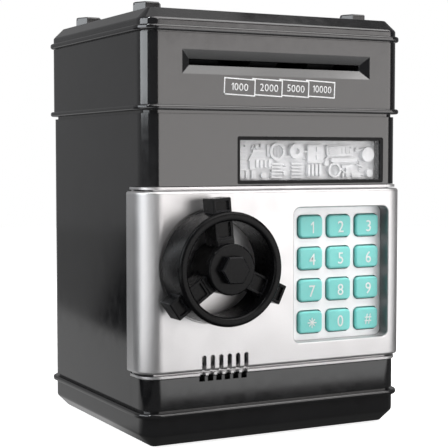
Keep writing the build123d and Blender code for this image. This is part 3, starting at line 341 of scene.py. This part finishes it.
def font_glyph(letter, weight):
    """One letter of the built-in font as a mesh one unit high and one unit thick, from x = 0."""
    curve = bpy.data.curves.new("glyph", "FONT")
    curve.body = letter
    curve.offset = weight
    curve.extrude = 0.02
    curve.resolution_u = 5
    source = bpy.data.objects.new("glyph", curve)
    bpy.context.scene.collection.objects.link(source)
    bpy.context.view_layer.update()
    mesh = bpy.data.meshes.new_from_object(source.evaluated_get(bpy.context.evaluated_depsgraph_get()))
    bpy.data.objects.remove(source)
    bpy.data.curves.remove(curve)
    low = Vector(min(v.co[i] for v in mesh.vertices) for i in range(3))
    high = Vector(max(v.co[i] for v in mesh.vertices) for i in range(3))
    scale = 1.0 / (high.y - low.y)
    mesh.transform(Matrix.Diagonal((scale, scale, 1.0 / (high.z - low.z), 1.0)) @ Matrix.Translation(-low))
    return mesh


def star_mesh(name, height, stroke):
    bm = bmesh.new()
    for k in range(4):
        turn = Matrix.Rotation(math.pi * k / 4, 4, "Y")
        length = height * (0.5 if k % 2 == 0 else 0.46)
        block(bm, (-stroke / 2, -INK / 2 - k * 0.004 * MM, -length), (stroke / 2, INK / 2, length), turn)
    return to_mesh(bm, name)


KEY_TEXT = {**{str(k): str(k) for k in range(10)}, "star": "*", "hash": "#"}
DIGIT_H, HASH_H, STAR_H, STAR_STROKE = 5.2 * MM, 4.7 * MM, 4.6 * MM, 0.5 * MM
LEGEND_RIGHT, LEGEND_DOWN = 0.5 * MM, 0.3 * MM


def key_legends():
    """White digit, star or hash on the face of each key."""
    white = surface("legend_white", (0.88, 0.97, 0.95), 0.45, tone=0.02, tone_size=0.002).material
    for name, text in KEY_TEXT.items():
        low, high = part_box(f"key_{name}")
        if name == "star":
            mesh = star_mesh("legend_star", STAR_H, STAR_STROKE)
        else:
            height = HASH_H if name == "hash" else DIGIT_H
            mesh = lettering(f"legend_{name}", text, height, 0.004, 0.94)
        middle = (low + high) / 2
        mesh.transform(Matrix.Translation((middle.x + LEGEND_RIGHT, low.y - INK / 2, middle.z - LEGEND_DOWN)))
        piece(f"legend_{name}", mesh, f"key_{name}", white)


NOTE_VALUES = ("1000", "2000", "5000", "10000")
NOTE_W, NOTE_H, NOTE_LINE = 15.4 * MM, 7.4 * MM, 0.5 * MM
NOTE_PITCH = 13.6 * MM
NOTE_FIRST_X, NOTE_TOP_Z = -27.4 * MM, 158.9 * MM
NOTE_TILT = math.radians(2.4)
PANEL_INSET = 1.6 * MM        # the upper panel lies this far behind the bead round its foot


def note_boxes():
    """Printed row of four overlapping note outlines with their values."""
    ink = surface("print_white", (0.86, 0.87, 0.88), 0.4, tone=0.03, tone_size=0.002).material
    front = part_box("upper_housing")[0].y + PANEL_INSET
    overlap = NOTE_W - NOTE_PITCH
    step = NOTE_PITCH * math.tan(NOTE_TILT)
    for k, value in enumerate(NOTE_VALUES):
        place = (Matrix.Translation((NOTE_FIRST_X + k * NOTE_PITCH, front - INK / 2, NOTE_TOP_Z))
                 @ Matrix.Rotation(NOTE_TILT, 4, "Y"))
        bm = bmesh.new()
        left_end = -NOTE_H if k == 0 else -step
        bottom_start = 0.0 if k == 0 else overlap
        for x, z in (((0.0, NOTE_W), (-NOTE_LINE, 0.0)),
                     ((NOTE_W - NOTE_LINE, NOTE_W), (-NOTE_H, -NOTE_LINE)),
                     ((bottom_start, NOTE_W - NOTE_LINE), (-NOTE_H, -NOTE_H + NOTE_LINE)),
                     ((0.0, NOTE_LINE), (left_end, -NOTE_LINE))):
            block(bm, (x[0], -INK / 2, z[0]), (x[1], INK / 2, z[1]))
        outline = to_mesh(bm, f"note_outline_{value}")
        outline.transform(place)
        piece(f"note_outline_{value}", outline, "case", ink)
        number = lettering(f"note_value_{value}", value, 3.1 * MM, 0.0, 1.0 if len(value) < 5 else 0.92)
        number.transform(place @ Matrix.Translation(((NOTE_W + bottom_start) / 2, 0.0, -NOTE_H / 2)))
        piece(f"note_value_{value}", number, "case", ink)


def relief_detail():
    """Fine hatching, rivets and pipes laid over the moulded shapes behind the window."""
    low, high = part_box("relief_panel")
    left, bottom = low.x - 0.15 * MM, low.z - 0.15 * MM
    face = high.y - 1.6 * MM
    bm = bmesh.new()

    def bar(x, z, rise, turn=0.0):
        middle = Vector((left + (x[0] + x[1]) / 2 * MM, 0.0, bottom + (z[0] + z[1]) / 2 * MM))
        half = Vector(((x[1] - x[0]) / 2 * MM, 0.0, (z[1] - z[0]) / 2 * MM))
        spin = Matrix.Translation(middle) @ Matrix.Rotation(math.radians(turn), 4, "Y")
        block(bm, (-half.x, face - rise * MM, -half.z), (half.x, face + 0.1 * MM, half.z), spin)

    def rivet(x, z, radius, rise):
        place = Matrix.Translation((left + x * MM, face - rise / 2 * MM, bottom + z * MM)) @ FACING_FRONT
        bmesh.ops.create_cone(bm, cap_ends=True, segments=20, radius1=radius * MM, radius2=radius * 0.7 * MM,
                              depth=rise * MM, matrix=place)

    for x, z, radius in ((20.6, 12.7, 2.7), (50.6, 4.3, 2.4)):
        for k in range(-3, 4):
            offset = k * radius / 3.6
            half = math.sqrt(max(0.0, radius * radius - offset * offset)) * 0.94
            bar((x + offset - 0.16, x + offset + 0.16), (z - half, z + half), 1.1)
    for x, z in ((1.6, 15.2), (1.6, 2.2), (4.2, 15.2), (37.0, 15.0), (37.0, 8.4), (44.0, 8.2), (66.0, 2.0),
                 (59.4, 14.6), (47.6, 14.6), (24.6, 6.4), (34.8, 9.4), (63.6, 8.8), (71.6, 15.8)):
        rivet(x, z, 0.45, 2.0)
    for k in range(6):
        bar((1.0, 4.9), (4.4 + 1.6 * k, 4.9 + 1.6 * k), 1.15)
        bar((64.2, 66.6), (4.0 + 0.8 * k, 4.35 + 0.8 * k), 0.9)
    for k in range(3):
        bar((54.6 + 2.0 * k, 55.6 + 2.0 * k), (12.0, 14.8), 1.5)
        bar((8.0 + 1.2 * k, 8.7 + 1.2 * k), (13.6, 15.6), 1.0, 25)
    for x, z, turn in (((5.4, 9.0), (9.8, 10.4), -60), ((14.2, 17.6), (8.0, 8.6), 40),
                       ((24.2, 27.6), (10.2, 10.9), 0), ((33.6, 36.4), (12.4, 13.1), 0),
                       ((45.0, 48.6), (9.4, 10.1), -50), ((53.6, 57.4), (3.6, 4.2), 35),
                       ((62.4, 66.6), (13.2, 13.9), -15), ((62.6, 66.0), (6.0, 6.5), 20)):
        bar(x, z, 1.3, turn)
    mesh = to_mesh(bm, "relief_fine_detail")
    made = piece("relief_fine_detail", mesh, "case", material("relief_white"))
    soften = made.modifiers.new("soft_edges", "BEVEL")
    soften.width = 0.06 * MM
    soften.segments = 2


# ---------------------------------------------------------------- stage


FLOOR_GLOW = 0.88                        # lifts the floor that the camera sees to near white
# what reflections see of the floor, by region, as glow with painted shade: FLOOR_DARK near the foot,
# FLOOR_LEFT to the left, FLOOR_FAR far behind; FLOOR_CARD is a glowing card
FLOOR_DARK = (0.1, 0.1, 0.1)
FLOOR_CARD = 2.0
FLOOR_LEFT, FLOOR_RIGHT, FLOOR_FAR = 0.5, 1.45, 0.22


def floor():
    """Plain pale floor to the camera. Every other ray sees floor_shade() instead."""
    g = Graph("floor_paper")
    tone = g.spread(g.noise(0.25), 0.0, 1.0)
    g.feed(g.shader.inputs["Base Color"], g.mix(tone, (0.9, 0.9, 0.9), (0.93, 0.93, 0.93)))
    g.shader.inputs["Roughness"].default_value = 0.9
    g.shader.inputs["Specular IOR Level"].default_value = 0.1
    g.shader.inputs["Emission Color"].default_value = (1.0, 1.0, 1.0, 1.0)
    g.shader.inputs["Emission Strength"].default_value = FLOOR_GLOW
    grey = g.node("ShaderNodeEmission", {"Color": floor_shade(g)})
    pick = g.node("ShaderNodeMixShader", {"Fac": g.node("ShaderNodeLightPath").outputs["Is Camera Ray"]})
    g.feed(pick.inputs[1], grey.outputs[0])
    g.feed(pick.inputs[2], g.shader.outputs[0])
    g.tree.links.new(pick.outputs[0], g.tree.nodes["Material Output"].inputs["Surface"])
    bm = bmesh.new()
    bmesh.ops.create_circle(bm, cap_ends=True, segments=96, radius=1.6)
    made = bpy.data.objects.new("floor", to_mesh(bm, "floor"))
    bpy.context.scene.collection.objects.link(made)
    made.data.materials.append(g.material)


def floor_shade(g):
    """What the glossy sides mirror, laid out for the main view as a glowing floor with the object's shade
    painted in: white paper in front, painted shade dark near the foot and grey to the left, a painted black
    shadow further left with dim floor far behind it, and a bright glowing card at the far left."""
    x, y = (g.node("ShaderNodeSeparateXYZ", {"Vector": g.place}).outputs[axis] for axis in "XY")
    front = g.mix(g.spread(y, 1.0, 0.0, -0.152, -0.142), FLOOR_DARK, (FLOOR_RIGHT,) * 3)
    side = g.mix(g.spread(y, 0.0, 1.0, -0.03, 0.01), FLOOR_DARK, (FLOOR_LEFT,) * 3)
    paper = g.mix(g.spread(x, 0.0, 1.0, -0.035, -0.015), side, front)
    # painted shadow of the object: black to its left, dim grey far behind
    slope = g.node("ShaderNodeMath", {0: x, 1: 2.2, 2: y}, operation="MULTIPLY_ADD").outputs[0]
    shaded_floor = g.mix(g.spread(slope, 0.0, 1.0, -0.105, -0.065), (0.0, 0.0, 0.0), (FLOOR_FAR,) * 3)
    edge = g.node("ShaderNodeMath", {0: y, 1: 0.1, 2: x}, operation="MULTIPLY_ADD").outputs[0]
    shaded_floor = g.mix(g.spread(edge, 0.0, 1.0, -0.166, -0.156), shaded_floor, paper)
    card = g.product(g.spread(x, 1.0, 0.0, -0.3, -0.24), g.spread(y, 1.0, 0.0, 0.0, 0.05))
    return g.mix(card, shaded_floor, (FLOOR_CARD,) * 3)


WALL_FRONT, WALL_BACK = 0.07, 0.28       # strength of the surroundings before and behind the object


def world():
    """White backdrop to the camera. Other rays see dark walls in front of the object, grey ones behind."""
    made = bpy.data.worlds.new("studio")
    bpy.context.scene.world = made
    made.use_nodes = True
    tree = made.node_tree
    tree.nodes.clear()
    place = tree.nodes.new("ShaderNodeTexCoord").outputs["Generated"]
    height = tree.nodes.new("ShaderNodeSeparateXYZ")
    tree.links.new(place, height.inputs[0])
    ramp = tree.nodes.new("ShaderNodeValToRGB")
    for position, level in ((0.0, 0.3), (0.5, 1.0), (0.64, 1.0), (1.0, 3.0)):
        stop = ramp.color_ramp.elements[0] if position == 0.0 else ramp.color_ramp.elements.new(position)
        stop.color = (level, level, level * 1.01, 1.0)
    ramp.color_ramp.elements.remove(ramp.color_ramp.elements[-1])
    scale = tree.nodes.new("ShaderNodeMapRange")
    scale.inputs["From Min"].default_value = -1.0
    tree.links.new(height.outputs["Z"], scale.inputs["Value"])
    tree.links.new(scale.outputs["Result"], ramp.inputs["Fac"])
    around = tree.nodes.new("ShaderNodeBackground")
    tree.links.new(ramp.outputs["Color"], around.inputs["Color"])
    depth = tree.nodes.new("ShaderNodeMapRange")
    for key, value in (("From Min", -0.3), ("From Max", 0.7), ("To Min", WALL_FRONT), ("To Max", WALL_BACK)):
        depth.inputs[key].default_value = value
    tree.links.new(height.outputs["Y"], depth.inputs["Value"])
    tree.links.new(depth.outputs["Result"], around.inputs["Strength"])
    behind = tree.nodes.new("ShaderNodeBackground")
    behind.inputs["Color"].default_value = (1.0, 1.0, 1.0, 1.0)
    pick = tree.nodes.new("ShaderNodeMixShader")
    tree.links.new(tree.nodes.new("ShaderNodeLightPath").outputs["Is Camera Ray"], pick.inputs["Fac"])
    tree.links.new(around.outputs[0], pick.inputs[1])
    tree.links.new(behind.outputs[0], pick.inputs[2])
    tree.links.new(pick.outputs[0], tree.nodes.new("ShaderNodeOutputWorld").inputs["Surface"])


def direction(azimuth, elevation):
    """Unit vector towards a place seen from the object; azimuth 0 is in front, positive to its right."""
    a, e = math.radians(azimuth), math.radians(elevation)
    return Vector((math.sin(a) * math.cos(e), -math.cos(a) * math.cos(e), math.sin(e)))


def softbox(name, azimuth, elevation, distance, width, height, radiance, color):
    """Area light given by the radiance of its face."""
    data = bpy.data.lights.new(name, "AREA")
    data.shape = "RECTANGLE"
    data.size, data.size_y = width, height
    data.energy = radiance * math.pi * width * height
    data.color = color
    made = bpy.data.objects.new(name, data)
    bpy.context.scene.collection.objects.link(made)
    aim = Vector((0.0, 0.0, 0.09))
    made.location = aim + direction(azimuth, elevation) * distance
    made.rotation_euler = (made.location - aim).to_track_quat("Z", "Y").to_euler()


def lights():
    softbox("front_right_box", 30, 3, 0.95, 0.85, 0.3, 2.4, (1.0, 0.965, 0.95))
    softbox("front_fill_box", 30, 42, 0.95, 0.85, 0.42, 3.4, (1.0, 0.975, 0.965))
    softbox("front_top_box", 27, 66, 0.95, 0.95, 0.42, 2.8, (1.0, 0.98, 0.97))
    softbox("top_box", 5, 84, 0.95, 0.9, 0.9, 0.5, (1.0, 0.99, 0.985))
    softbox("left_box", -84, 19, 1.0, 0.95, 0.5, 3.8, (0.93, 0.97, 1.0))
    softbox("upper_left_box", -58, 52, 1.0, 0.1, 0.13, 40.0, (0.97, 0.99, 1.0))


CAMERA_AZIMUTH, CAMERA_ELEVATION, CAMERA_DISTANCE = -27.54, 3.152, 0.5944
CAMERA_AIM = Vector((0.0020, sum(corner.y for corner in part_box("base_tray")) / 2 - 0.00104, 0.0924))
CAMERA_LENS = 99.0


def camera():
    data = bpy.data.cameras.new("camera")
    data.sensor_width = 36.0
    data.lens = CAMERA_LENS
    made = bpy.data.objects.new("camera", data)
    bpy.context.scene.collection.objects.link(made)
    back = direction(CAMERA_AZIMUTH, CAMERA_ELEVATION)
    made.location = CAMERA_AIM + back * CAMERA_DISTANCE
    made.rotation_euler = back.to_track_quat("Z", "Y").to_euler()
    bpy.context.scene.camera = made
    bpy.context.scene.view_settings.view_transform = "Standard"


finish_cad_nodes()
key_legends()
note_boxes()
relief_detail()
floor()
world()
lights()
camera()
